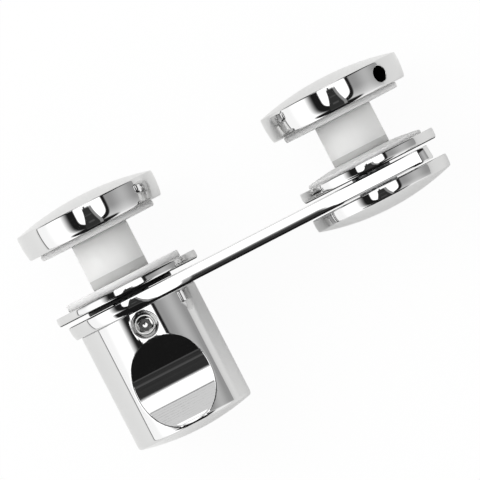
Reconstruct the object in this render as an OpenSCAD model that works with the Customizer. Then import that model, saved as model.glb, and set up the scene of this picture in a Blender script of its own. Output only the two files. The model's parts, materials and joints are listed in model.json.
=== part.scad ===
// Latch for a glass shower door. A knob and a hooked arm turn on a stud through the door glass,
// and the hook drops over a grooved keeper that is clamped through the fixed panel.
// Lengths are millimetres. The pivot axis runs along Y through the door glass, and Z points up.

/* [Layout] */
// Distance from the pivot axis to the keeper axis
centre_distance = 54.1; // [48:0.1:70]
// Thickness of glass gripped by the door fixing
door_grip = 10; // [6:0.5:14]
// Thickness of glass gripped by the keeper fixing
keeper_grip = 8.8; // [6:0.2:13]

/* [Caps] */
// Diameter of the two inner caps
cap_d = 30.2; // [28:0.1:36]
// Height of the straight rim of an inner cap
cap_rim_h = 5.3; // [4.8:0.1:8]
// Rise of the domed face of an inner cap
cap_dome_h = 2; // [1.2:0.1:4]
// Rounding of the rim's edge beside the gasket
cap_edge_r = 0.8; // [0.2:0.1:1.2]
// Diameter of the tommy bar hole in the rim
tommy_d = 3.4; // [2:0.1:4]
// Depth of the tommy bar hole
tommy_depth = 6; // [3:0.5:8]
// Turn of the keeper cap's tommy bar hole from straight up towards +X
keeper_tommy_turn = 43.5; // [-180:0.5:180]
// Turn of the door cap's tommy bar hole from straight up towards +X
door_tommy_turn = -136.5; // [-180:0.5:180]
// Depth of the threaded blind hole in an inner cap
cap_thread_depth = 5; // [4:0.1:5.5]

/* [Gaskets and bushes] */
// Outer diameter of the gaskets
gasket_d = 25; // [20:0.1:28]
// Thickness of the gasket under an inner cap
cap_gasket_t = 1.2; // [0.8:0.1:2]
// Thickness of the gasket between the door disc and the glass
door_seat_t = 1.5; // [1:0.1:2.5]
// Fall of the keeper gasket's crowned face from the bush to its rim
seat_crown = 0.8; // [0.2:0.1:1]
// Outer diameter of the bushes that line the holes in the glass
bush_d = 12.2; // [11.5:0.1:14]

/* [Discs] */
// Diameter of the disc on the door's outer face
door_disc_d = 31.1; // [26:0.1:36]
// Thickness of the door disc
door_disc_t = 1.8; // [1.2:0.1:3]
// Diameter of the disc on the fixed panel's outer face
keeper_disc_d = 29.7; // [26:0.1:36]
// Thickness of the keeper disc
keeper_disc_t = 2.2; // [1.4:0.1:2.6]
// Rounding of the discs' edges
disc_edge_r = 0.4; // [0.2:0.05:0.5]
// Diameter of the spigot on each disc that centres its bush
spigot_d = 9; // [8:0.1:10]
// Height of the door disc's spigot above its gasket
door_spigot_h = 2; // [1:0.1:4]
// Height of the keeper disc's spigot above its gasket
keeper_spigot_h = 1.4; // [0.8:0.1:4]

/* [Studs] */
// Diameter of the studs' threaded ends
thread_d = 6; // [5:0.1:6.5]
// Diameter of the pivot stud's journal
journal_d = 8; // [7.5:0.1:9]
// Length of journal inside the knob
journal_depth = 9; // [7.5:0.1:12]
// Outer diameter of the keeper's sleeve
sleeve_d = 8.4; // [7.5:0.1:10]

/* [Latch arm] */
// Thickness of the arm
arm_t = 2.9; // [2:0.1:4]
// Width of the arm's straight bar
arm_w = 25; // [20:0.1:26]
// Diameter of the arm's round head
arm_head_d = 28.2; // [27:0.1:31]
// Reach of the arm's end past the keeper axis
arm_reach = 12.3; // [10:0.1:16]
// Radius of the arm's end corners
arm_corner_r = 3.2; // [1:0.1:6]
// Outer diameter of the black washer between the disc and the arm
washer_d = 18.4; // [14:0.1:24]
// Thickness of the black washer
washer_t = 0.8; // [0.4:0.1:1.5]
// Distance of the two arm screws from the pivot axis
arm_screw_offset = 8.2; // [7.6:0.1:9]

/* [Knob] */
// Diameter of the knob
knob_d = 25.2; // [22:0.1:27]
// Height of the knob's straight side
knob_h = 25.3; // [24:0.1:32]
// Rise of the knob's domed end
knob_dome_h = 1.6; // [0.8:0.1:3]
// Radius of the thumb scoop
scoop_r = 15.9; // [12:0.1:20]
// Depth of the thumb scoop
scoop_depth = 2.94; // [1.5:0.02:3.5]
// Distance of the scoop's middle from the knob's top
scoop_drop = 15.8; // [14.5:0.1:18]
// Diameter of the grub screw
grub_d = 5; // [4:0.1:5]
// Distance of the grub screw from the knob's top
grub_drop = 3.4; // [3:0.1:4]
// Depth of the grub screw's face below the knob's side
grub_recess = 1; // [0.2:0.1:2]

/* [Keeper cap] */
// Diameter of the keeper's outer cap
outer_cap_d = 29.9; // [26:0.1:36]
// Height of the outer cap's straight rim
outer_rim_h = 2.6; // [2:0.1:5]
// Rise of the outer cap's domed face
outer_dome_h = 2.2; // [1.5:0.1:4]

/* [Clearances] */
// Radial running clearance of the arm and knob on the journal
journal_clearance = 0.05; // [0.02:0.01:0.1]
// Radial clearance of a stud in a plain or threaded hole
stud_clearance = 0.05; // [0.02:0.01:0.1]
// Radial clearance of a bush on its spigot
spigot_clearance = 0.1; // [0.05:0.01:0.3]
// Gap between the washer and the arm
washer_gap = 0.1; // [0.05:0.05:0.3]
// Gap between the arm and the keeper disc
groove_gap_in = 0.45; // [0.3:0.05:0.8]
// Gap between the arm and the keeper's outer cap
groove_gap_out = 0.3; // [0.3:0.05:0.8]
// Gap between the hook and the keeper's sleeve
hook_gap = 0.3; // [0.3:0.05:1]
// Gap between the grub screw's point and its groove
point_gap = 0.25; // [0.15:0.05:0.4]
// Gap left at the bottom of each blind hole
end_gap = 0.4; // [0.2:0.1:0.8]

/* [Hidden] */
$fn = 96;
shallow_fn = 256; // sides of the large circles that give shallow domes
chrome = "#d5d8da";
steel = "#9a9ea2";
clear_white = "#eef1f0";
black_nylon = "#17181a";
cut = 1;

// Heights along the fixings' axes, with 0 at the middle of the door glass
glass_out = -door_grip / 2;
door_glass_in = door_grip / 2;
door_cap_z = door_glass_in + cap_gasket_t;
door_disc_top = glass_out - door_seat_t;
door_disc_low = door_disc_top - door_disc_t;
washer_low = door_disc_low - washer_t;
arm_top = washer_low - washer_gap;
arm_low = arm_top - arm_t;
keeper_disc_low = arm_top + groove_gap_in;
keeper_disc_top = keeper_disc_low + keeper_disc_t;
keeper_glass_in = glass_out + keeper_grip;
keeper_cap_z = keeper_glass_in + cap_gasket_t;
outer_cap_top = arm_low - groove_gap_out;
keeper_seat_t = glass_out - keeper_disc_top;

// Holes that take the studs and spigots
thread_hole_d = thread_d + 2 * stud_clearance;
journal_hole_d = journal_d + 2 * journal_clearance;
spigot_hole_d = spigot_d + 2 * spigot_clearance;
outer_cap_wall = 1.4; // metal left between the outer cap's blind hole and its domed face
outer_thread_depth = outer_rim_h + outer_dome_h - outer_cap_wall;

// Hook slot round the keeper's sleeve
slot_r = sleeve_d / 2 + hook_gap;
arm_end = centre_distance + arm_reach;

// Countersunk arm screws
arm_screw_d = 3;
arm_screw_head_d = 5.6;
arm_screw_head_h = 1.7;
arm_screw_grip = 5.5;
arm_screw_socket = 2;
arm_screw_socket_depth = 1.1;
arm_screw_sink = 0.1;

// Grub screw, whose dog point runs in a groove round the journal
grub_z = arm_low - grub_drop;
grub_face = knob_d / 2 - grub_recess;
grub_chamfer = 0.35;
grub_socket = grub_d / 2;
grub_socket_depth = 2.4;
grub_point_d = 2.4;
grub_shoulder = journal_hole_d / 2 + point_gap;
groove_depth = 1;
groove_floor_d = journal_d - 2 * groove_depth;
groove_w = grub_point_d + 2 * point_gap;
grub_clearance = 0.02;

// Shapes turned on a lathe, drawn as half sections

function dome_radius(r, rise) = (r * r + rise * rise) / (2 * rise);

module rounded_edge_section(r, h, edge_r) {
    translate([0, edge_r]) square([r, h - edge_r]);
    square([r - edge_r, h]);
    translate([r - edge_r, edge_r]) circle(r = edge_r);
}

module domed_cap(d, rim_h, dome_h, edge_r) {
    ball_r = dome_radius(d / 2, dome_h);
    rotate_extrude()
        intersection() {
            rounded_edge_section(d / 2, rim_h + dome_h, edge_r);
            translate([0, rim_h + dome_h - ball_r]) circle(r = ball_r, $fn = shallow_fn);
        }
}

module edged_disc(d, t, edge_r) {
    rotate_extrude()
        intersection() {
            rounded_edge_section(d / 2, t, edge_r);
            translate([0, t]) mirror([0, 1]) rounded_edge_section(d / 2, t, edge_r);
        }
}

module ring(outer_d, inner_d, h) {
    difference() {
        cylinder(d = outer_d, h = h);
        translate([0, 0, -cut]) cylinder(d = inner_d, h = h + 2 * cut);
    }
}

module hex_socket(across_flats, depth) {
    cylinder(d = across_flats / cos(30), h = depth, $fn = 6);
}

// Places on the two axes

module on_pivot_axis(z) {
    rotate([-90, 0, 0]) translate([0, 0, z]) children();
}

module on_keeper_axis(z) {
    translate([centre_distance, 0, 0]) rotate([-90, 0, 0]) translate([0, 0, z]) children();
}

// Pieces that both fixings share

module inner_cap(tommy_turn) {
    color(chrome)
        difference() {
            domed_cap(cap_d, cap_rim_h, cap_dome_h, cap_edge_r);
            translate([0, 0, -cut]) cylinder(d = thread_hole_d, h = cap_thread_depth + cut);
            rotate([0, 0, tommy_turn])
                translate([0, tommy_depth - cap_d / 2, cap_rim_h / 2])
                    rotate([90, 0, 0]) cylinder(d = tommy_d, h = tommy_depth + cut);
        }
}

module cap_gasket() {
    color(clear_white) ring(gasket_d, thread_hole_d, cap_gasket_t);
}

module glass_bush(grip, spigot_h) {
    color(clear_white)
        difference() {
            ring(bush_d, thread_hole_d, grip);
            translate([0, 0, -cut])
                cylinder(d = spigot_hole_d, h = spigot_h + end_gap + cut);
        }
}

module spigot_disc(d, t, seat_t, spigot_h) {
    color(chrome)
        difference() {
            union() {
                edged_disc(d, t, disc_edge_r);
                cylinder(d = spigot_d, h = t + seat_t + spigot_h);
            }
            translate([0, 0, -cut])
                cylinder(d = thread_hole_d, h = t + seat_t + spigot_h + 2 * cut);
        }
}

// Door fixing

module door_cap() {
    on_pivot_axis(door_cap_z) inner_cap(door_tommy_turn);
}

module door_cap_gasket() {
    on_pivot_axis(door_glass_in) cap_gasket();
}

module door_bush() {
    on_pivot_axis(glass_out) glass_bush(door_grip, door_spigot_h);
}

module door_seat_gasket() {
    color(clear_white)
        on_pivot_axis(door_disc_top) ring(gasket_d, spigot_hole_d, door_seat_t);
}

module door_disc() {
    on_pivot_axis(door_disc_low)
        spigot_disc(door_disc_d, door_disc_t, door_seat_t, door_spigot_h);
}

module pivot_stud() {
    journal_end = arm_low - journal_depth;
    color(steel)
        on_pivot_axis(0)
            difference() {
                union() {
                    translate([0, 0, journal_end])
                        cylinder(d = journal_d, h = door_disc_low - journal_end);
                    translate([0, 0, journal_end])
                        cylinder(
                            d = thread_d,
                            h = door_cap_z + cap_thread_depth - end_gap - journal_end
                        );
                }
                translate([0, 0, grub_z - groove_w / 2])
                    ring(journal_d + 2 * cut, groove_floor_d, groove_w);
            }
}

module pivot_washer() {
    color(black_nylon)
        on_pivot_axis(washer_low) ring(washer_d, journal_hole_d, washer_t);
}

// Latch arm and knob

module arm_outline() {
    half_w = arm_w / 2;
    circle(d = arm_head_d);
    translate([0, -half_w]) square([arm_end - arm_corner_r, arm_w]);
    translate([0, arm_corner_r - half_w]) square([arm_end, arm_w - 2 * arm_corner_r]);
    for (side = [-1, 1])
        translate([arm_end - arm_corner_r, side * (half_w - arm_corner_r)])
            circle(r = arm_corner_r);
}

module hook_slot() {
    cylinder(r = slot_r, h = arm_t + 2 * cut);
    translate([-centre_distance, 0, 0])
        intersection() {
            ring(
                2 * (centre_distance + slot_r),
                2 * (centre_distance - slot_r),
                arm_t + 2 * cut
            );
            translate([centre_distance / 2, 0, 0])
                cube([centre_distance, arm_w, arm_t + 2 * cut]);
        }
}

module arm_screw_shape(spare) {
    shank_h = arm_t + arm_screw_grip - arm_screw_sink;
    translate([0, 0, -shank_h - spare])
        cylinder(d = arm_screw_d + 2 * spare, h = shank_h + spare);
    translate([0, 0, -arm_screw_head_h])
        cylinder(
            d1 = arm_screw_d + 2 * spare,
            d2 = arm_screw_head_d + 2 * spare,
            h = arm_screw_head_h
        );
}

module at_arm_screws() {
    for (side = [-1, 1])
        on_pivot_axis(arm_top - arm_screw_sink)
            translate([side * arm_screw_offset, 0, 0]) children();
}

module latch_arm() {
    color(chrome)
        difference() {
            on_pivot_axis(arm_low) linear_extrude(arm_t) arm_outline();
            on_pivot_axis(arm_low - cut) cylinder(d = journal_hole_d, h = arm_t + 2 * cut);
            on_keeper_axis(arm_low - cut) hook_slot();
            at_arm_screws() {
                arm_screw_shape(stud_clearance);
                cylinder(d = arm_screw_head_d + 2 * stud_clearance, h = cut);
            }
        }
}

module arm_screws() {
    color(steel)
        at_arm_screws()
            difference() {
                arm_screw_shape(0);
                translate([0, 0, -arm_screw_socket_depth])
                    hex_socket(arm_screw_socket, arm_screw_socket_depth + cut);
            }
}

module knob() {
    scoop_z = arm_low - scoop_drop;
    color(chrome)
        difference() {
            on_pivot_axis(arm_low)
                mirror([0, 0, 1]) domed_cap(knob_d, knob_h, knob_dome_h, disc_edge_r);
            on_pivot_axis(arm_low - journal_depth - end_gap)
                cylinder(d = journal_hole_d, h = journal_depth + end_gap + cut);
            on_pivot_axis(scoop_z)
                translate([-knob_d / 2, scoop_depth - scoop_r - knob_d / 2, 0])
                    rotate([0, 90, 0]) cylinder(r = scoop_r, h = knob_d);
            on_pivot_axis(grub_z)
                rotate([90, 0, 0]) cylinder(d = grub_d, h = knob_d);
            at_arm_screws() arm_screw_shape(stud_clearance);
        }
}

module grub_screw() {
    body_d = grub_d - 2 * grub_clearance;
    point_end = groove_floor_d / 2 + point_gap;
    color(steel)
        on_pivot_axis(grub_z)
            rotate([90, 0, 0])
                difference() {
                    union() {
                        translate([0, 0, point_end])
                            cylinder(d = grub_point_d, h = grub_face - point_end);
                        translate([0, 0, grub_shoulder])
                            cylinder(d = body_d, h = grub_face - grub_chamfer - grub_shoulder);
                        translate([0, 0, grub_face - grub_chamfer])
                            cylinder(d1 = body_d, d2 = body_d - 2 * grub_chamfer, h = grub_chamfer);
                    }
                    translate([0, 0, grub_face - grub_socket_depth])
                        hex_socket(grub_socket, grub_socket_depth + cut);
                }
}

// Keeper fixing

module keeper_cap() {
    on_keeper_axis(keeper_cap_z) inner_cap(keeper_tommy_turn);
}

module keeper_cap_gasket() {
    on_keeper_axis(keeper_glass_in) cap_gasket();
}

module keeper_bush() {
    on_keeper_axis(glass_out) glass_bush(keeper_grip, keeper_spigot_h);
}

module keeper_seat_gasket() {
    crown_r = (pow(gasket_d / 2, 2) - pow(bush_d / 2, 2)) / (2 * seat_crown);
    crown_top = keeper_seat_t + pow(bush_d / 2, 2) / (2 * crown_r);
    color(clear_white)
        on_keeper_axis(keeper_disc_top)
            difference() {
                rotate_extrude()
                    intersection() {
                        square([gasket_d / 2, keeper_seat_t]);
                        translate([0, crown_top - crown_r]) circle(r = crown_r, $fn = shallow_fn);
                    }
                translate([0, 0, -cut]) cylinder(d = spigot_hole_d, h = keeper_seat_t + 2 * cut);
            }
}

module keeper_disc() {
    on_keeper_axis(keeper_disc_low)
        spigot_disc(keeper_disc_d, keeper_disc_t, keeper_seat_t, keeper_spigot_h);
}

module keeper_stud() {
    stud_end = outer_cap_top - outer_thread_depth + end_gap;
    color(steel)
        on_keeper_axis(stud_end)
            cylinder(d = thread_d, h = keeper_cap_z + cap_thread_depth - end_gap - stud_end);
}

module keeper_sleeve() {
    color(steel)
        on_keeper_axis(outer_cap_top)
            ring(sleeve_d, thread_hole_d, keeper_disc_low - outer_cap_top);
}

module keeper_outer_cap() {
    color(chrome)
        on_keeper_axis(outer_cap_top)
            mirror([0, 0, 1])
                difference() {
                    domed_cap(outer_cap_d, outer_rim_h, outer_dome_h, disc_edge_r);
                    translate([0, 0, -cut])
                        cylinder(d = thread_hole_d, h = outer_thread_depth + cut);
                }
}

door_cap();
door_cap_gasket();
door_bush();
door_seat_gasket();
door_disc();
pivot_stud();
pivot_washer();
latch_arm();
arm_screws();
knob();
grub_screw();
keeper_cap();
keeper_cap_gasket();
keeper_bush();
keeper_seat_gasket();
keeper_disc();
keeper_stud();
keeper_sleeve();
keeper_outer_cap();
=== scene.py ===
import json
import math
import bmesh
import bpy
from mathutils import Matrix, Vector


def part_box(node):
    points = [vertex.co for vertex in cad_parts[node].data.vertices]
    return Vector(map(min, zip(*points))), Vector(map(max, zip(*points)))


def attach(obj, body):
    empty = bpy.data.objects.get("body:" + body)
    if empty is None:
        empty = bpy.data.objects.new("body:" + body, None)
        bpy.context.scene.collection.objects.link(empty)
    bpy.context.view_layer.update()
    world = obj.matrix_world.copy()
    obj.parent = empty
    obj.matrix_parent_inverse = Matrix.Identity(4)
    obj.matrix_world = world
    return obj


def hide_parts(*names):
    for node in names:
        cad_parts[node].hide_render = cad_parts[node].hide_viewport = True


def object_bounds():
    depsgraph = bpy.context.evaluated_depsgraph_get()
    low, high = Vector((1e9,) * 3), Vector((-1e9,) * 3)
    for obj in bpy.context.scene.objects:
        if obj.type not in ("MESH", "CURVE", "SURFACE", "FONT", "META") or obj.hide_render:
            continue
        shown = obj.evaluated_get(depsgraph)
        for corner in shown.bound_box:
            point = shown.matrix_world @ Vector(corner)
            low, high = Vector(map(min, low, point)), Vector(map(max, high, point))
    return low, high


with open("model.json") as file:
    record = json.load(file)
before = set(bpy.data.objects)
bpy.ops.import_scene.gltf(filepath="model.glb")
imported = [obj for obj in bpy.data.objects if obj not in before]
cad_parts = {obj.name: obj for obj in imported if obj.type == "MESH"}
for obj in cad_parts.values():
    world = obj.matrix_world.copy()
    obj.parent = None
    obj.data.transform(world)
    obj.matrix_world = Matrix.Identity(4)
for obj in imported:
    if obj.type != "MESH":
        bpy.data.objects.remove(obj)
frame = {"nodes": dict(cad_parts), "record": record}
cadLow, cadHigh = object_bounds()
bodies = frame["record"]["behaviour"]["bodies"]
mm = 0.001
weld = 0.0005 * mm  # points closer than this are one point
print("frame loaded:", len(frame["nodes"]), "nodes")


# Colour and node helpers

def tone(code):  # sRGB hex to linear
    parts = [int(code[i:i + 2], 16) / 255 for i in (0, 2, 4)]
    linear = [c / 12.92 if c <= 0.04045 else ((c + 0.055) / 1.055) ** 2.4 for c in parts]
    return (*linear, 1)


def addNode(tree, kind, settings=None, links=None):
    node = tree.nodes.new(kind)
    for key, value in (settings or {}).items():
        if isinstance(key, int) or key in node.inputs:
            node.inputs[key].default_value = value
        else:
            setattr(node, key, value)
    for key, source in (links or {}).items():
        tree.links.new(source, node.inputs[key])
    return node


def compute(tree, operation, *values):  # each value a constant or a socket
    constants = {i: v for i, v in enumerate(values) if not isinstance(v, bpy.types.NodeSocket)}
    sockets = {i: v for i, v in enumerate(values) if isinstance(v, bpy.types.NodeSocket)}
    return addNode(tree, "ShaderNodeMath", {"operation": operation, **constants}, sockets).outputs[0]


def newMaterial(name):
    material = bpy.data.materials.new(name)
    material.use_nodes = True
    material.node_tree.nodes.clear()
    return material, material.node_tree


# Modelling helpers, all sizes in mm

def only(piece):
    bpy.ops.object.select_all(action="DESELECT")
    piece.select_set(True)
    bpy.context.view_layer.objects.active = piece


def measure(node):  # axis place, radius and ends of a turned piece
    low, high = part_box(node)
    return {
        "x": (low.x + high.x) / 2 / mm,
        "r": (high.x - low.x) / 2 / mm,
        "low": low.y / mm,
        "high": high.y / mm,
    }


def arc(centre, radius, fromDeg, toDeg, steps):
    turn = [math.radians(fromDeg + (toDeg - fromDeg) * i / steps) for i in range(steps + 1)]
    return [(centre[0] + radius * math.cos(a), centre[1] + radius * math.sin(a)) for a in turn]


def dome(r, edge, top, steps=24):  # from the rim's edge to the point on the axis
    rise = top - edge
    ball = (r * r + rise * rise) / (2 * abs(rise))
    side = math.copysign(1, rise)
    lean = math.asin(r / ball)
    angles = [lean * (1 - i / steps) for i in range(steps + 1)]
    return [(ball * math.sin(a), top - side * ball * (1 - math.cos(a))) for a in angles]


def crownedSide(r, low, high, leanLow, leanHigh, steps=10):  # its normal swings from one lean to the other
    sines = [math.sin(math.radians(a)) for a in (leanLow, leanHigh)]
    ball = (high - low) / (sines[1] - sines[0])
    middle = low - ball * sines[0]
    heights = [low + (high - low) * i / steps for i in range(steps + 1)]
    return [(r - ball + math.sqrt(ball ** 2 - (h - middle) ** 2), h) for h in heights]


def drawLine(name, points):  # one vertex, extruded from point to point
    bpy.ops.object.select_all(action="DESELECT")
    bpy.ops.mesh.primitive_plane_add(size=mm, location=points[0])
    piece = bpy.context.object
    piece.name = name
    piece.data.name = name
    bpy.ops.object.transform_apply(location=True, rotation=True, scale=True)
    bpy.ops.object.mode_set(mode="EDIT")
    bpy.ops.mesh.select_mode(type="VERT")
    bpy.ops.mesh.select_all(action="SELECT")
    bpy.ops.mesh.merge(type="CENTER")
    for start, end in zip(points, points[1:]):
        bpy.ops.mesh.extrude_vertices_move(TRANSFORM_OT_translate={"value": end - start})
    bpy.ops.mesh.select_all(action="SELECT")
    bpy.ops.mesh.remove_doubles(threshold=weld)
    return piece


def pick(piece, kind, test):  # selects by place or normal in edit mode
    edit = bmesh.from_edit_mesh(piece.data)
    bpy.ops.mesh.select_all(action="DESELECT")
    bpy.ops.mesh.select_mode(type=kind)
    for part in {"VERT": edit.verts, "EDGE": edit.edges, "FACE": edit.faces}[kind]:
        if test(part):
            part.select_set(True)
    bmesh.update_edit_mesh(piece.data)


def closeUp(piece):
    bpy.ops.mesh.select_all(action="SELECT")
    bpy.ops.mesh.remove_doubles(threshold=weld)
    bpy.ops.mesh.normals_make_consistent(inside=False)
    bpy.ops.object.mode_set(mode="OBJECT")


def turnPiece(name, outline, axisX=0, along="Y", axisY=0, turns=192, roundSteps=5):
    def place(r, h):
        return Vector((axisX + r, h, 0) if along == "Y" else (axisX + r, axisY, h)) * mm

    piece = drawLine(name, [place(c[0], c[1]) for c in outline])
    for r, h, rounding in [c for c in outline if len(c) == 3]:
        corner = place(r, h)
        pick(piece, "VERT", lambda v: (v.co - corner).length < 2 * weld)
        bpy.ops.mesh.bevel(offset=rounding * mm, segments=roundSteps, affect="VERTICES")
    bpy.ops.mesh.select_all(action="SELECT")
    spinAxis = (0, 1, 0) if along == "Y" else (0, 0, 1)
    bpy.ops.mesh.spin(steps=turns, angle=2 * math.pi, center=place(0, 0), axis=spinAxis)
    closeUp(piece)
    return piece


def rod(radius, length, centre, turn=(0, 0, 0), sides=96):  # a cutter
    bpy.ops.object.select_all(action="DESELECT")
    bpy.ops.mesh.primitive_cylinder_add(
        vertices=sides, radius=radius * mm, depth=length * mm,
        location=Vector(centre) * mm, rotation=[math.radians(a) for a in turn])
    return bpy.context.object


def cone(radiusLow, radiusHigh, length, centre, turn=(0, 0, 0), sides=48):  # a tapered cutter
    bpy.ops.object.select_all(action="DESELECT")
    bpy.ops.mesh.primitive_cone_add(
        vertices=sides, radius1=radiusLow * mm, radius2=radiusHigh * mm, depth=length * mm,
        location=Vector(centre) * mm, rotation=[math.radians(a) for a in turn])
    return bpy.context.object


def cutAway(piece, *cutters):
    for cutter in cutters:
        only(piece)
        saw = piece.modifiers.new("cut", "BOOLEAN")
        saw.operation = "DIFFERENCE"
        saw.solver = "EXACT"
        saw.object = cutter
        bpy.ops.object.modifier_apply(modifier=saw.name)
        bpy.data.objects.remove(cutter)


def breakEdges(piece, width, test, segments=3):
    only(piece)
    bpy.ops.object.mode_set(mode="EDIT")
    pick(piece, "EDGE", test)
    bpy.ops.mesh.bevel(offset=width * mm, segments=segments, affect="EDGES", clamp_overlap=False,
                       loop_slide=False)
    closeUp(piece)


def finishPiece(piece, node, material, smoothDeg=32):
    only(piece)
    bpy.ops.object.shade_smooth_by_angle(angle=math.radians(smoothDeg))
    even = piece.modifiers.new("evenNormals", "WEIGHTED_NORMAL")
    even.keep_sharp = True
    bpy.ops.object.modifier_apply(modifier=even.name)
    piece.data.materials.clear()
    piece.data.materials.append(material)
    body = next(name for name, nodes in bodies.items() if node in nodes)
    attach(piece, body)
    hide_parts(node)
    return piece


def reface(piece, material, test):  # gives the chosen faces a second material
    only(piece)
    piece.data.materials.append(material)
    piece.active_material_index = 1
    bpy.ops.object.mode_set(mode="EDIT")
    pick(piece, "FACE", test)
    bpy.ops.object.material_slot_assign()
    bpy.ops.object.mode_set(mode="OBJECT")


# Materials

def speckle(tree, sizeMm, detail):  # noise that is fixed to the piece
    place = addNode(tree, "ShaderNodeTexCoord")
    return addNode(tree, "ShaderNodeTexNoise", {"Scale": 1 / (sizeMm * mm), "Detail": detail},
                   {"Vector": place.outputs["Object"]}).outputs["Fac"]


def mapTo(tree, share, span, source=(0, 1)):
    return addNode(tree, "ShaderNodeMapRange",
                   {"From Min": source[0], "From Max": source[1], "To Min": span[0], "To Max": span[1]},
                   {"Value": share}).outputs["Result"]


def mixTones(tree, share, first, second):
    return addNode(tree, "ShaderNodeMix", {"data_type": "RGBA", 6: tone(first), 7: tone(second)},
                   {0: share}).outputs[2]


def relief(tree, height, strength, highMm):
    return addNode(tree, "ShaderNodeBump", {"Strength": strength, "Distance": highMm * mm},
                   {"Height": height}).outputs["Normal"]


def dress(tree, settings, links):
    shader = addNode(tree, "ShaderNodeBsdfPrincipled", settings, links)
    addNode(tree, "ShaderNodeOutputMaterial", links={"Surface": shader.outputs["BSDF"]})


def polishedChrome():  # chromium plate on buffed zinc: a clean mirror with a trace of polishing haze
    look = {"plate": "DADADA", "hazeMm": 7, "hazeSpan": (0.3, 0.7), "gloss": (0.02, 0.05),
            "waveMm": 6, "waveHigh": 0.006}
    material, tree = newMaterial("polishedChrome")
    haze = speckle(tree, look["hazeMm"], detail=4)
    wave = speckle(tree, look["waveMm"], detail=0)
    dress(tree, {"Base Color": tone(look["plate"]), "Metallic": 1.0},
          {"Roughness": mapTo(tree, haze, look["gloss"], look["hazeSpan"]),
           "Normal": relief(tree, wave, strength=1.0, highMm=look["waveHigh"])})
    return material


def turnedSteel():  # stainless bar off the lathe: fine rings round the axis
    look = {"steel": "A9ABAD", "dark": "8D8F92", "ringMm": 0.22, "ringHigh": 0.02, "gloss": (0.38, 0.22)}
    material, tree = newMaterial("turnedSteel")
    place = addNode(tree, "ShaderNodeTexCoord")
    scale = math.pi / (10 * look["ringMm"] * mm)  # at scale 1, a wave is pi / 10 long
    rings = addNode(tree, "ShaderNodeTexWave",
                    {"bands_direction": "Y", "Scale": scale, "Distortion": 0.6, "Detail": 2},
                    {"Vector": place.outputs["Object"]}).outputs["Fac"]
    dress(tree, {"Metallic": 1.0},
          {"Base Color": mixTones(tree, rings, look["dark"], look["steel"]),
           "Roughness": mapTo(tree, rings, look["gloss"]),
           "Normal": relief(tree, rings, strength=0.25, highMm=look["ringHigh"])})
    return material


def nickelPlate():  # nickel plate on a machine screw: bright, but softer than chrome
    look = {"plate": "CECECD", "hazeMm": 1.5, "gloss": (0.09, 0.16)}
    material, tree = newMaterial("nickelPlate")
    haze = speckle(tree, look["hazeMm"], detail=3)
    dress(tree, {"Base Color": tone(look["plate"]), "Metallic": 1.0},
          {"Roughness": mapTo(tree, haze, look["gloss"])})
    return material


def bareZincPaintedShade():  # drilled or cored zinc that the plating didn't reach: dull, finely scored, its near-black tone painted shade for hollows and hidden faces
    look = {"zincShade": "2B2B2C", "score": "151516", "scoreMm": 0.25, "gloss": (0.5, 0.7)}
    material, tree = newMaterial("bareZincPaintedShade")
    scores = speckle(tree, look["scoreMm"], detail=2)
    dress(tree, {"Metallic": 1.0},
          {"Base Color": mixTones(tree, scores, look["score"], look["zincShade"]),
           "Roughness": mapTo(tree, scores, look["gloss"])})
    return material


def clearPolymer(name, milk, shade):  # soft translucent vinyl: milky, light spreads inside it, a satin skin
    look = {"cloudMm": 5, "gloss": (0.32, 0.45), "spreadMm": 5.0}
    material, tree = newMaterial(name)
    cloud = speckle(tree, look["cloudMm"], detail=3)
    dress(tree, {"IOR": 1.5, "Subsurface Weight": 1.0, "Subsurface Scale": mm,
                 "Subsurface Radius": [look["spreadMm"]] * 3},
          {"Base Color": mixTones(tree, cloud, shade, milk), "Roughness": mapTo(tree, cloud, look["gloss"])})
    return material


def blackNylon():  # black nylon, moulded: deep black with a fine satin grain
    look = {"nylon": "101113", "worn": "1C1D1F", "grainMm": 0.3, "grainHigh": 0.03, "gloss": (0.4, 0.55)}
    material, tree = newMaterial("blackNylon")
    grain = speckle(tree, look["grainMm"], detail=3)
    dress(tree, {},
          {"Base Color": mixTones(tree, grain, look["nylon"], look["worn"]),
           "Roughness": mapTo(tree, grain, look["gloss"]),
           "Normal": relief(tree, grain, strength=0.2, highMm=look["grainHigh"])})
    return material


chrome = polishedChrome()
steel = turnedSteel()
nickel = nickelPlate()
zincShade = bareZincPaintedShade()
vinyl = clearPolymer("translucentVinyl", "F1F1F0", "E7E7E6")
spigotShadeVinyl = clearPolymer("vinylSpigotShade", "C8C8C7", "BBBBBA")  # painted shade: a thin wall, greyer where the metal behind it would show through
nylon = blackNylon()
print("materials made")


# Camera, above the latch and turned so that the arm climbs to the right
shot = {"over": (24.55, -9.1), "height": 2400, "turnDeg": -27.2, "lens": 900, "clipStart": 0.01}
bpy.ops.object.camera_add(location=Vector((*shot["over"], shot["height"])) * mm,
                          rotation=(0, 0, math.radians(shot["turnDeg"])))
camera = bpy.context.object
camera.data.lens = shot["lens"]
camera.data.clip_start = shot["clipStart"]
bpy.context.scene.camera = camera


# Inner caps: turned, domed, with a tommy bar hole in the rim
innerCap = {"rim": 5.3, "lean": (-11, 4), "toe": 0.45, "toeLean": -45, "toeSteps": 5, "gasketEdge": 0.08,
            "domeEdge": 0.2, "boreR": 3.05, "boreDepth": 5, "boreEdge": 0.3, "turns": 256,
            "holeR": 1.7, "holeDepth": 6, "holeEdge": 0.12,
            "holeTurn": {"door_cap": -136.5, "keeper_cap": 43.5},
            "platedAndLit": 0.35,  # the plating and the light go this far into the hole; deeper in, the wall takes painted shade
            "wallNear": 0.02, "rimNear": 0.3, "facesUp": 0.9}


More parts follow.
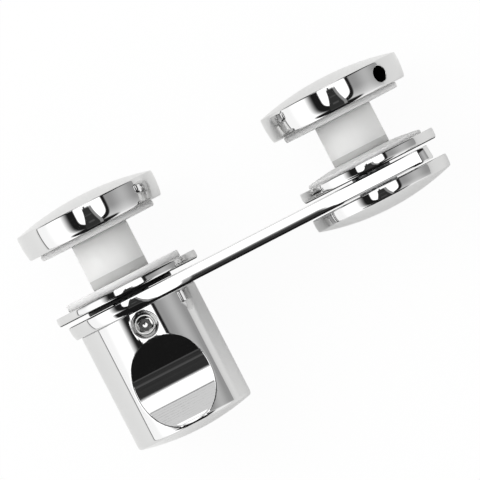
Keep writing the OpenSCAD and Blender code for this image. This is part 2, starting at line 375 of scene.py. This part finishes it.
def makeInnerCap(name, node):
    s = measure(node)
    toeTop = s["low"] + innerCap["toe"]
    rimTop = s["low"] + innerCap["rim"]
    floor = s["low"] + innerCap["boreDepth"]
    bore = innerCap["boreR"]
    rim = crownedSide(s["r"], toeTop, rimTop, *innerCap["lean"])
    toe = crownedSide(0, s["low"], toeTop, innerCap["toeLean"], innerCap["lean"][0], innerCap["toeSteps"])
    toe = [(r + rim[0][0] - toe[-1][0], h) for r, h in toe]  # moved out to meet the rim
    rimDome = dome(rim[-1][0], rimTop, s["high"])
    outline = [(0, floor), (bore, floor), (bore, s["low"], innerCap["boreEdge"]),
               (*toe[0], innerCap["gasketEdge"]), *toe[1:-1], *rim[:-1], (*rimDome[0], innerCap["domeEdge"])]
    cap = turnPiece(name, outline + rimDome[1:], s["x"], turns=innerCap["turns"])
    turnDeg = innerCap["holeTurn"][node]
    out = Vector((math.sin(math.radians(turnDeg)), 0, math.cos(math.radians(turnDeg))))
    centre = Vector((s["x"], s["low"] + innerCap["rim"] / 2, 0))
    cutAway(cap, rod(innerCap["holeR"], 2 * innerCap["holeDepth"], centre + out * s["r"], (0, turnDeg, 0)))

    def fromHole(point):  # away from the cap's axis, along the hole and away from the hole's axis
        away = point - centre * mm
        deep = away.dot(out)
        return math.hypot(away.x, away.z), deep, (away - out * deep).length

    def onMouth(edge):
        for v in edge.verts:
            reach, _, wall = fromHole(v.co)
            if abs(wall - innerCap["holeR"] * mm) > innerCap["wallNear"] * mm:
                return False
            if reach < (s["r"] - innerCap["rimNear"]) * mm:
                return False
        return True

    def inHole(face):
        reach, deep, wall = fromHole(face.calc_center_median())
        if deep <= 0 or wall >= (innerCap["holeR"] + innerCap["wallNear"] / 2) * mm:
            return False
        return face.normal.y <= innerCap["facesUp"] and reach <= (s["r"] - innerCap["platedAndLit"]) * mm

    breakEdges(cap, innerCap["holeEdge"], onMouth)
    finishPiece(cap, node, chrome)
    # the hole's wall past the mouth takes the dark zinc: bare metal, its near-black tone painted shade
    reface(cap, zincShade, inHole)


makeInnerCap("doorCap", "door_cap")
makeInnerCap("keeperCap", "keeper_cap")
print("inner caps made")


# Gaskets and bushes: moulded rings with soft edges
gasket = {"boreR": {"door_cap_gasket": 3.05, "keeper_cap_gasket": 3.05, "door_seat_gasket": 4.6,
                    "keeper_seat_gasket": 4.6},
          "edge": 0.35, "boreEdge": 0.1, "crown": 0.8, "crownSteps": 12, "crownEdge": 0.25, "seatEdge": 0.15,
          "bushR": 6.1}
bush = {"boreR": 3.05, "spigotR": 4.6, "spigotH": {"door_bush": 2.4, "keeper_bush": 1.8}, "spigotGap": 0.4,
        "edge": 0.2}


def makeGasket(name, node):
    s = measure(node)
    inner, innerEdge, edge = gasket["boreR"][node], gasket["boreEdge"], gasket["edge"]
    outline = [(inner, s["low"], innerEdge), (s["r"], s["low"], edge), (s["r"], s["high"], edge),
               (inner, s["high"], innerEdge), (inner, s["low"])]
    finishPiece(turnPiece(name, outline, s["x"]), node, vinyl)


def makeCrownedGasket(name, node):
    s = measure(node)
    inner, steps = gasket["boreR"][node], gasket["crownSteps"]
    crownR = (s["r"] ** 2 - gasket["bushR"] ** 2) / (2 * gasket["crown"])
    radii = [s["r"] + (gasket["bushR"] - s["r"]) * i / steps for i in range(steps + 1)]
    crown = [(r, s["high"] - (r ** 2 - gasket["bushR"] ** 2) / (2 * crownR)) for r in radii]
    outline = [(inner, s["low"]), (s["r"], s["low"], gasket["seatEdge"]), (*crown[0], gasket["crownEdge"])]
    outline += crown[1:] + [(inner, s["high"]), (inner, s["low"])]
    finishPiece(turnPiece(name, outline, s["x"]), node, vinyl)


def makeBush(name, node):
    s = measure(node)
    edge = bush["edge"]
    step = s["low"] + bush["spigotH"][node]
    shadeTop = step - bush["spigotGap"]  # metal stands behind the wall up to here, and below it the wall gets painted shade
    bore, spigot = bush["boreR"], bush["spigotR"]
    outline = [(spigot, s["low"]), (s["r"], s["low"], edge), (s["r"], shadeTop), (s["r"], s["high"], edge),
               (bore, s["high"], edge), (bore, step), (spigot, step), (spigot, s["low"])]
    piece = finishPiece(turnPiece(name, outline, s["x"]), node, vinyl)
    # faces below that height take the darker vinyl: painted shade of the spigot behind the thin wall
    reface(piece, spigotShadeVinyl, lambda f: f.calc_center_median().y < shadeTop * mm)


makeGasket("doorCapGasket", "door_cap_gasket")
makeGasket("keeperCapGasket", "keeper_cap_gasket")
makeGasket("doorSeatGasket", "door_seat_gasket")
makeCrownedGasket("keeperSeatGasket", "keeper_seat_gasket")
makeBush("doorBush", "door_bush")
makeBush("keeperBush", "keeper_bush")
print("gaskets and bushes made")


# Discs on the outer face of the glass, each with a bare zinc under face and the bare spigot that centres its
# bush, both darkened as painted shade
disc = {"thick": {"door_disc": 1.8, "keeper_disc": 2.2}, "edge": (0.5, 0.15),
        "lean": {"door_disc": (-6, 11), "keeper_disc": (-11, 8)}, "sideSteps": 8, "sideFrom": 3,
        "spigotR": 4.5, "spigotEdge": 0.3, "boreR": 3.05, "turns": 256, "clear": 0.01, "facesDown": -0.6}


def makeDisc(name, node):
    s = measure(node)
    bore, spigot = disc["boreR"], disc["spigotR"]
    top = s["low"] + disc["thick"][node]
    under, over = disc["edge"]
    rim = crownedSide(s["r"], s["low"], top, *disc["lean"][node], disc["sideSteps"])
    outline = [(bore, s["low"]), (*rim[0], under), *rim[disc["sideFrom"]:-1], (*rim[-1], over), (spigot, top),
               (spigot, s["high"], disc["spigotEdge"]), (bore, s["high"]), (bore, s["low"])]
    piece = finishPiece(turnPiece(name, outline, s["x"], turns=disc["turns"]), node, chrome)

    def takesZincShade(face):
        onSpigot = face.calc_center_median().y > (top + disc["clear"]) * mm
        return onSpigot or face.normal.y < disc["facesDown"]

    # the under face and the spigot take the dark zinc: bare metal, its near-black tone painted shade
    reface(piece, zincShade, takesZincShade)


makeDisc("doorDisc", "door_disc")
makeDisc("keeperDisc", "keeper_disc")


# Keeper's outer cap: domed, screwed on the stud from outside
outerCap = {"rim": 2.6, "grooveEdge": 0.25, "lean": (-11, 5), "sideSteps": 8, "domeEdge": 0.2,
            "boreR": 3.05, "boreDepth": 3.4, "boreEdge": 0.2, "turns": 256}


def makeOuterCap(name, node):
    s = measure(node)
    bore = outerCap["boreR"]
    rimFoot = s["high"] - outerCap["rim"]
    floor = s["high"] - outerCap["boreDepth"]
    rim = crownedSide(s["r"], rimFoot, s["high"], *outerCap["lean"], outerCap["sideSteps"])
    rimDome = dome(rim[0][0], rimFoot, s["low"])
    outline = [(0, floor), (bore, floor), (bore, s["high"], outerCap["boreEdge"]),
               (*rim[-1], outerCap["grooveEdge"]), *rim[-2:0:-1], (*rimDome[0], outerCap["domeEdge"])]
    cap = turnPiece(name, outline + rimDome[1:], s["x"], turns=outerCap["turns"])
    finishPiece(cap, node, chrome)


makeOuterCap("keeperOuterCap", "keeper_outer_cap")
print("discs and outer cap made")


# Washer between disc and arm, and the sleeve that the hook drops over
washer = {"boreR": 4.05, "edge": 0.15, "turns": 128}
sleeve = {"boreR": 3.05, "edge": 0.1, "turns": 128}


def makeRing(name, node, ring, material):
    s = measure(node)
    inner, edge = ring["boreR"], ring["edge"]
    outline = [(inner, s["low"], edge), (s["r"], s["low"], edge), (s["r"], s["high"], edge),
               (inner, s["high"], edge), (inner, s["low"])]
    finishPiece(turnPiece(name, outline, s["x"], turns=ring["turns"]), node, material)


makeRing("pivotWasher", "pivot_washer", washer, nylon)
makeRing("keeperSleeve", "keeper_sleeve", sleeve, steel)
print("washer and sleeve made")


# Latch arm: its outline drawn at each height, the rings then bridged
arm = {"headR": 14.1, "halfW": 12.5, "blendR": 60, "end": 66.4, "cornerR": 3.2, "pivotR": 54.1, "slotR": 4.5,
       "boreR": 4.05, "screwAt": 8.2, "screwR": 1.55, "screwHeadR": 2.85, "screwHeadH": 1.8, "slotEdge": 0.15,
       "cutLength": 8, "cutOver": 0.1,  # the cutters stand out of the faces
       "steps": {"head": 110, "blend": 16, "tip": 8, "mouth": 8, "slot": 20, "corner": 10},
       # where one buffed side passes into the next
       "barFrom": 1.2, "barOver": 4.5, "tipFrom": 41, "tipOver": 6,
       # height above the under face, then how far the side leans there, in degrees: head, bar and tip
       "side": [(0, -46, -44, -44), (0.03, -44, -43, -43), (0.1, -34, -40, -40), (0.25, -20, -30, -12),
                (0.36, -18, -18, 3), (0.46, -17, 0.8, 4.4), (0.75, -14, 1.3, 4.5), (1.05, -11, 1.4, 4.5),
                (1.3, -9, 2.2, 4.6), (1.5, -8, 4.2, 4.6), (1.9, -6, 4.7, 4.7), (2.6, -1, 5, 5),
                (2.76, 25, 25, 25), (2.86, 55, 55, 55), (2.9, 75, 75, 75)]}


def drawnIn(heights, leans):  # how far each height lies inside the widest one
    sunk = [0.0]
    for i in range(1, len(heights)):
        slope = (math.tan(math.radians(leans[i - 1])) + math.tan(math.radians(leans[i]))) / 2
        sunk.append(sunk[-1] + slope * (heights[i] - heights[i - 1]))
    return [one - min(sunk) for one in sunk]


def easeIn(value, start, over):  # 0 before the start and 1 after the passage, with no kink
    share = min(max((value - start) / over, 0), 1)
    return share ** 2 * (3 - 2 * share)


def armOutline(headIn, barIn, tipIn, slotIn):
    head, half, blend, corner = arm["headR"], arm["halfW"], arm["blendR"], arm["cornerR"]
    steps = arm["steps"]

    def sunkAt(x):
        toBar = (barIn - headIn) * easeIn(x, arm["barFrom"], arm["barOver"])
        return headIn + toBar + (tipIn - barIn) * easeIn(x, arm["tipFrom"], arm["tipOver"])

    def softArc(centre, radius, fromDeg, toDeg, count, bulge):  # bulge 1 outwards, -1 inwards
        points = []
        for x, z in arc((0, 0), 1, fromDeg, toDeg, count):
            reach = radius - bulge * sunkAt(centre[0] + radius * x)
            points.append((centre[0] + reach * x, centre[1] + reach * z))
        return points

    blendX = math.sqrt((head + blend) ** 2 - (half + blend) ** 2)
    lean = math.degrees(math.atan2(half + blend, blendX))
    slot = arm["slotR"] + slotIn
    inner, outer = arm["pivotR"] - slot, arm["pivotR"] + slot
    mouthIn, mouthOut = [math.degrees(math.asin((half - tipIn) / r)) for r in (inner, outer)]
    cornerX, cornerZ = arm["end"] - corner, half - corner
    places = [arm["tipFrom"] + arm["tipOver"] * i / steps["tip"] for i in range(steps["tip"] + 1)]
    straight = [(x, half - sunkAt(x)) for x in places]
    path = softArc((0, 0), head, lean, 360 - lean, steps["head"], 1)
    path += softArc((blendX, -half - blend), blend, 180 - lean, 90, steps["blend"], -1)[1:]
    path += [(x, -z) for x, z in straight]
    path += arc((0, 0), inner, -mouthIn, 0, steps["mouth"])
    path += arc((arm["pivotR"], 0), slot, 180, 0, steps["slot"])[1:]
    path += arc((0, 0), outer, 0, -mouthOut, steps["mouth"])[1:]
    path += softArc((cornerX, -cornerZ), corner, -90, 0, steps["corner"], 1)
    path += softArc((cornerX, cornerZ), corner, 0, 90, steps["corner"], 1)
    path += straight[::-1]
    path += softArc((blendX, half + blend), blend, -90, lean - 180, steps["blend"], -1)[:-1]
    return path


def makeArm(name, node):
    low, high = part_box(node)
    heights = [row[0] for row in arm["side"]]
    sunk = [drawnIn(heights, [row[i] for row in arm["side"]]) for i in (1, 2, 3)]
    rings = []
    for i, height in enumerate(heights):
        slotIn = arm["slotEdge"] if i in (0, len(heights) - 1) else 0
        outline = armOutline(sunk[0][i], sunk[1][i], sunk[2][i], slotIn)
        path = [Vector((x * mm, low.y + height * mm, z * mm)) for x, z in outline]
        rings.append(drawLine(name + "Ring", path + path[:1]))
        bpy.ops.object.mode_set(mode="OBJECT")
    for ring in rings:
        ring.select_set(True)
    bpy.ops.object.join()
    piece = bpy.context.object
    piece.name = name
    piece.data.name = name
    bpy.ops.object.mode_set(mode="EDIT")

    def atHeights(*wanted):
        def test(edge):
            return all(min(abs(v.co.y - low.y - h * mm) for h in wanted) < weld for v in edge.verts)
        return test

    for below, above in zip(heights, heights[1:]):
        pick(piece, "EDGE", atHeights(below, above))
        bpy.ops.mesh.bridge_edge_loops()
    for height in (heights[0], heights[-1]):
        pick(piece, "EDGE", atHeights(height))
        bpy.ops.mesh.edge_face_add()
    closeUp(piece)
    mid = (low.y + high.y) / 2 / mm
    headR, headH = arm["screwHeadR"] + arm["cutOver"], arm["screwHeadH"]
    headY = high.y / mm - headH / 2 + arm["cutOver"]
    cutters = [rod(arm["boreR"], arm["cutLength"], (0, mid, 0), (90, 0, 0))]
    for x in (-arm["screwAt"], arm["screwAt"]):
        cutters.append(rod(arm["screwR"], arm["cutLength"], (x, mid, 0), (90, 0, 0), sides=48))
        cutters.append(cone(arm["screwR"], headR, headH, (x, headY, 0), (-90, 0, 0)))
    cutAway(piece, *cutters)
    finishPiece(piece, node, chrome)


makeArm("latchArm", "latch_arm")
print("latch arm made")


# Knob: turned, bored for the journal, with the thumb scoop and the grub screw's hole
knob = {"side": 25.3, "topEdge": 0.3, "domeEdge": 0.7, "boreR": 4.05, "boreDepth": 9.4,
        "scoopR": 15.9, "scoopDepth": 2.94, "scoopDrop": 15.8, "scoopLength": 30, "scoopSides": 192,
        "scoopEdge": 0.3, "grubR": 2.5, "grubDrop": 3.4, "grubLength": 20, "grubEdge": 0.4, "edgeSteps": 6,
        "screwAt": 8.2, "screwR": 1.55, "screwDepth": 5.6, "near": 0.01}


def makeKnob(name, node):
    s = measure(node)
    sideFoot = s["high"] - knob["side"]
    floor = s["high"] - knob["boreDepth"]
    end = dome(s["r"], sideFoot, s["low"])
    outline = [(0, floor), (knob["boreR"], floor), (knob["boreR"], s["high"]),
               (s["r"], s["high"], knob["topEdge"]), (*end[0], knob["domeEdge"])]
    piece = turnPiece(name, outline + end[1:], s["x"])
    scoopY = s["high"] - knob["scoopDrop"]
    scoopZ = s["r"] - knob["scoopDepth"] + knob["scoopR"]
    grubY = s["high"] - knob["grubDrop"]
    cutters = [rod(knob["scoopR"], knob["scoopLength"], (0, scoopY, scoopZ), (0, 90, 0), knob["scoopSides"]),
               rod(knob["grubR"], knob["grubLength"], (0, grubY, knob["grubLength"] / 2))]
    for x in (-knob["screwAt"], knob["screwAt"]):
        cutters.append(rod(knob["screwR"], 2 * knob["screwDepth"], (x, s["high"], 0), (90, 0, 0), sides=48))
    cutAway(piece, *cutters)

    def isNear(length, size):
        return abs(length - size * mm) <= knob["near"] * mm

    def onSide(v):
        return isNear(math.hypot(v.co.x, v.co.z), s["r"])

    def onScoop(v):
        return isNear(math.hypot(v.co.y - scoopY * mm, v.co.z - scoopZ * mm), knob["scoopR"])

    def onGrubHole(v):
        return isNear(math.hypot(v.co.x, v.co.y - grubY * mm), knob["grubR"])

    breakEdges(piece, knob["scoopEdge"], lambda e: all(onSide(v) and onScoop(v) for v in e.verts))
    breakEdges(piece, knob["grubEdge"], lambda e: all(onSide(v) and onGrubHole(v) for v in e.verts),
               knob["edgeSteps"])
    finishPiece(piece, node, chrome)


makeKnob("latchKnob", "knob")
print("knob made")


# Grub screw: turned blank with a chamfered hexagon socket that ends in the drill's point
grub = {"bodyR": 2.48, "chamfer": (0.5, 0.28), "pointR": 1.2, "pointEdge": 0.2, "shoulder": 4.3, "sides": 96,
        "socket": 2.5, "socketDepth": 2.4, "lead": 0.3, "leadH": 0.35, "drillR": 0.5, "drillPoint": 0.06,
        "cutOver": 0.001, "near": 0.02}


def makeGrub(name, node):
    low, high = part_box(node)
    axisY = (low.y + high.y) / 2 / mm
    point, face = low.z / mm, high.z / mm
    wide, tall = grub["chamfer"]
    outline = [(0, point), (grub["pointR"], point, grub["pointEdge"]), (grub["pointR"], grub["shoulder"]),
               (grub["bodyR"], grub["shoulder"], grub["pointEdge"]), (grub["bodyR"], face - tall),
               (grub["bodyR"] - wide, face), (0, face)]
    piece = turnPiece(name, outline, 0, "Z", axisY, turns=grub["sides"])
    corner = grub["socket"] / 2 / math.cos(math.radians(30))  # half the hexagon over its corners
    lead, leadH, drill = grub["lead"], grub["leadH"], grub["drillPoint"]
    leadZ = face - leadH / 2 + grub["cutOver"]
    floorZ = face - grub["socketDepth"]
    cutAway(piece,
            rod(corner, 2 * grub["socketDepth"], (0, axisY, face), sides=6),
            cone(corner - lead, corner + lead, leadH, (0, axisY, leadZ), sides=grub["sides"]),
            cone(0, grub["drillR"], drill, (0, axisY, floorZ - drill / 2 + grub["cutOver"])))

    def onDrillPoint(edge):
        for v in edge.verts:
            if math.hypot(v.co.x, v.co.y - axisY * mm) > (grub["drillR"] + grub["near"]) * mm:
                return False
            if abs(v.co.z - floorZ * mm) > 2 * drill * mm:
                return False
        return True

    only(piece)
    bpy.ops.object.mode_set(mode="EDIT")
    pick(piece, "EDGE", onDrillPoint)
    bpy.ops.mesh.mark_sharp()  # so that the shallow point still catches the light
    bpy.ops.object.mode_set(mode="OBJECT")
    finishPiece(piece, node, nickel)


makeGrub("grubScrew", "grub_screw")
print("grub screw made")


# Studs: turned, with a rolled thread on the end that takes the inner cap
stud = {"threadR": 2.97, "rootR": 2.45, "pitch": 1.0, "threads": 7, "windSteps": 64,
        "ridge": (0.42, 0.5, 0.92), "ridgeSink": 0.1,  # crest from, crest to and top, as shares of the pitch
        "endChamfer": 0.3, "shankR": 3.0, "shankEdge": 0.1, "footEdge": 0.2, "turns": 96,
        "journalR": 4.0, "journalEdge": 0.3, "grooveR": 3.0, "grooveW": 2.9, "grooveDrop": 3.4}


def makeThread(name, foot):  # one ridge, wound up the Y axis
    pitch = stud["pitch"]
    root, crest = stud["rootR"] - stud["ridgeSink"], stud["threadR"]
    crestLow, crestHigh, top = [pitch * share for share in stud["ridge"]]
    corners = [(root, 0), (crest, crestLow), (crest, crestHigh), (root, top), (root, 0)]
    piece = drawLine(name, [Vector((r, foot + h, 0)) * mm for r, h in corners])
    bpy.ops.object.mode_set(mode="OBJECT")
    wind = piece.modifiers.new("wind", "SCREW")
    wind.axis = "Y"
    wind.screw_offset = pitch * mm
    wind.iterations = stud["threads"] - 1
    wind.steps = stud["windSteps"]
    wind.render_steps = stud["windSteps"]
    bpy.ops.object.modifier_apply(modifier=wind.name)
    bpy.ops.object.mode_set(mode="EDIT")
    bpy.ops.mesh.select_all(action="SELECT")
    bpy.ops.mesh.fill_holes(sides=len(corners) - 1)  # the ridge's two ends
    closeUp(piece)
    return piece


def makeStud(name, node, outline):
    s = measure(node)
    root, chamfer = stud["rootR"], stud["endChamfer"]
    foot = s["high"] - stud["threads"] * stud["pitch"]
    end = [(stud["shankR"], foot, stud["shankEdge"]), (root, foot), (root, s["high"] - chamfer),
           (root - chamfer, s["high"]), (0, s["high"])]
    piece = turnPiece(name, outline + end, s["x"], turns=stud["turns"])
    thread = makeThread(name + "Thread", foot)
    bpy.ops.object.mode_set(mode="EDIT")
    bpy.ops.mesh.select_all(action="SELECT")
    bpy.ops.transform.translate(value=(s["x"] * mm, 0, 0))
    bpy.ops.object.mode_set(mode="OBJECT")
    only(piece)
    thread.select_set(True)
    bpy.ops.object.join()
    finishPiece(piece, node, steel)


low = measure("pivot_stud")["low"]
journalTop = measure("pivot_washer")["high"]
grooveMid = measure("knob")["high"] - stud["grooveDrop"]
grooveLow, grooveHigh = grooveMid - stud["grooveW"] / 2, grooveMid + stud["grooveW"] / 2
makeStud("pivotStud", "pivot_stud",
         [(0, low), (stud["journalR"], low, stud["journalEdge"]), (stud["journalR"], grooveLow),
          (stud["grooveR"], grooveLow), (stud["grooveR"], grooveHigh), (stud["journalR"], grooveHigh),
          (stud["journalR"], journalTop), (stud["shankR"], journalTop)])
low = measure("keeper_stud")["low"]
makeStud("keeperStud", "keeper_stud", [(0, low), (stud["shankR"], low, stud["footEdge"])])
print("studs made")


# The arm's screws stay as the frame has them
screws = frame["nodes"]["arm_screws"]
screws.data.materials.clear()
screws.data.materials.append(nickel)


# Floor, just under the lowest rim: pale matte paint, white to the camera, that keeps the shadow
floor = {"drop": 0.05, "size": 6, "paint": "F4F4F3", "glow": 0.95, "mirrorGlow": 0.14}
bpy.ops.object.select_all(action="DESELECT")
bpy.ops.mesh.primitive_plane_add(size=floor["size"], location=(0, 0, cadLow.z - floor["drop"] * mm))
ground = bpy.context.object
ground.name = "floor"
paint, tree = newMaterial("paleFloor")
matte = addNode(tree, "ShaderNodeBsdfDiffuse", {"Color": tone(floor["paint"])})
white = addNode(tree, "ShaderNodeEmission", {"Color": tone("FFFFFF"), "Strength": 1.0})
ray = addNode(tree, "ShaderNodeLightPath")
seen = compute(tree, "MAXIMUM", ray.outputs["Is Camera Ray"], ray.outputs["Is Transmission Ray"])
glow = compute(tree, "MULTIPLY", seen, floor["glow"])
share = compute(tree, "MULTIPLY_ADD", ray.outputs["Is Glossy Ray"], floor["mirrorGlow"], glow)
mixed = addNode(tree, "ShaderNodeMixShader", {},
                {0: share, 1: matte.outputs["BSDF"], 2: white.outputs["Emission"]})
addNode(tree, "ShaderNodeOutputMaterial", links={"Surface": mixed.outputs["Shader"]})
ground.data.materials.append(paint)


# Studio for mirrors: panels placed by direction in degrees, across (about Y, from straight up towards +X) and
# along Y. Each is laid over those before it
studio = {"dark": 0.02, "soft": 0.8, "backdrop": 1.0}
arch = {"growth": -1, "power": 9}  # a panel's sides close in to a round foot
bell = {"growth": 1.3, "power": 2}  # or spread
panels = [
    # soft box on the left
    {"light": 1.3, "across": (-89, 0), "along": (-80, 13), "fade": (2, 12)},
    {"light": 1.7, "across": (-66, 0), "along": (-80, 13), "fade": (22, 12)},
    # grey wall on the right, its foot lit
    {"light": 0.4, "across": (0, 92), "along": (-80, 12), "fade": (2, 3)},
    {"light": 0.62, "across": (50, 74), "along": (-80, 12), "fade": (24, 3)},
    {"light": 1.2, "across": (0, 92), "along": (-80, -18), "fade": (2, 24)},
    # dark gap between them, and darkness below it
    {"light": 0.015, "across": (-38.5, 20), "along": (-90, 90), "fade": (18, 2), "foot": (8, -22), **arch},
    {"light": 0.015, "across": (-20, 33), "along": (-90, 90), "fade": (3, 2), "foot": (8, -22), **arch},
    {"light": 0.012, "across": (-42, 46), "along": (-90, -20), "fade": (10, 3)},
    {"light": 0.012, "across": (-180, 180), "along": (-90, -70), "fade": (2, 10)},
    # ceiling and its lamps
    {"light": 0.85, "across": (-33, 33), "along": (27, 61), "fade": (3, 2)},
    {"light": 1.6, "across": (-33, 33), "along": (61, 90), "fade": (3, 2)},
    # white card in the gap
    {"light": 1.7, "across": (-19.5, 27.5), "along": (-18, 26), "fade": (2, 1.5), "foot": (8, -18), **arch},
    # camera before it, with its shoe and two glints
    {"light": 0.35, "across": (-4, 9), "along": (-24, 3.5), "fade": (1.2, 3), "foot": (4, -18), **bell},
    {"light": 0.04, "across": (-6, 5), "along": (-24, 3.5), "fade": (1.2, 3), "foot": (4, -18), **bell},
    {"light": 0.04, "across": (-3.4, -1), "along": (2, 7), "fade": (0.8, 0.8)},
    {"light": 0.1, "across": (-5, 5), "along": (-16, -14), "fade": (2, 1.5)},
    {"light": 0.08, "across": (-5, 5), "along": (-7, -5.5), "fade": (2, 1.2)},
]
world = bpy.data.worlds.new("studio")
bpy.context.scene.world = world
world.use_nodes = True
tree = world.node_tree
tree.nodes.clear()
ray = addNode(tree, "ShaderNodeLightPath")
view = addNode(tree, "ShaderNodeTexCoord")
way = addNode(tree, "ShaderNodeSeparateXYZ", {}, {0: view.outputs["Generated"]})
across = compute(tree, "DEGREES", compute(tree, "ARCTAN2", way.outputs["X"], way.outputs["Z"]))
along = compute(tree, "DEGREES", compute(tree, "ARCSINE", way.outputs["Y"]))
level = addNode(tree, "ShaderNodeValue").outputs[0]
level.default_value = studio["dark"]


def softStep(value, middle, fade, span=(0, 1)):
    return addNode(tree, "ShaderNodeMapRange",
                   {"interpolation_type": "SMOOTHSTEP", "From Min": middle - fade / 2,
                    "From Max": middle + fade / 2, "To Min": span[0], "To Max": span[1]},
                   {"Value": value}).outputs["Result"]


for panel in panels:
    left, right = panel["across"]
    front, back = panel["along"]
    acrossFade, alongFade = panel["fade"]
    halfWide = (right - left) / 2
    below = mapTo(tree, along, (0, 1), panel.get("foot", (0, -1)))
    curve = compute(tree, "POWER", below, panel.get("power", 1))
    wide = compute(tree, "MULTIPLY_ADD", curve, halfWide * panel.get("growth", 0), halfWide)
    aside = compute(tree, "ABSOLUTE", compute(tree, "SUBTRACT", across, (left + right) / 2))
    mask = softStep(compute(tree, "SUBTRACT", wide, aside), 0, acrossFade)
    mask = compute(tree, "MULTIPLY", mask, softStep(along, front, alongFade))
    mask = compute(tree, "MULTIPLY", mask, softStep(along, back, alongFade, (1, 0)))
    level = addNode(tree, "ShaderNodeMix", {"data_type": "FLOAT", 3: panel["light"]},
                    {0: mask, 2: level}).outputs[0]
glossy = addNode(tree, "ShaderNodeMix", {"data_type": "FLOAT", 2: studio["soft"]},
                 {0: ray.outputs["Is Glossy Ray"], 3: level}).outputs[0]
seen = compute(tree, "MAXIMUM", ray.outputs["Is Camera Ray"], ray.outputs["Is Transmission Ray"])
strength = addNode(tree, "ShaderNodeMix", {"data_type": "FLOAT", 3: studio["backdrop"]},
                   {0: seen, 2: glossy}).outputs[0]
sky = addNode(tree, "ShaderNodeBackground", {"Color": tone("FFFFFF")}, {"Strength": strength})
addNode(tree, "ShaderNodeOutputWorld", links={"Surface": sky.outputs["Background"]})


# Key lamp, a large soft box to the left that only shades the matte pieces
key = {"at": (-350, 330, 560), "size": 500, "watts": 2.6}
bpy.ops.object.light_add(type="AREA", location=Vector(key["at"]) * mm)
lamp = bpy.context.object
lamp.data.shape = "SQUARE"
lamp.data.size = key["size"] * mm
lamp.data.energy = key["watts"]
lamp.visible_glossy = False
lamp.visible_camera = False
lamp.rotation_euler = (-lamp.location).to_track_quat("-Z", "Y").to_euler()
print("studio lit")

bpy.context.scene.view_settings.view_transform = "Standard"
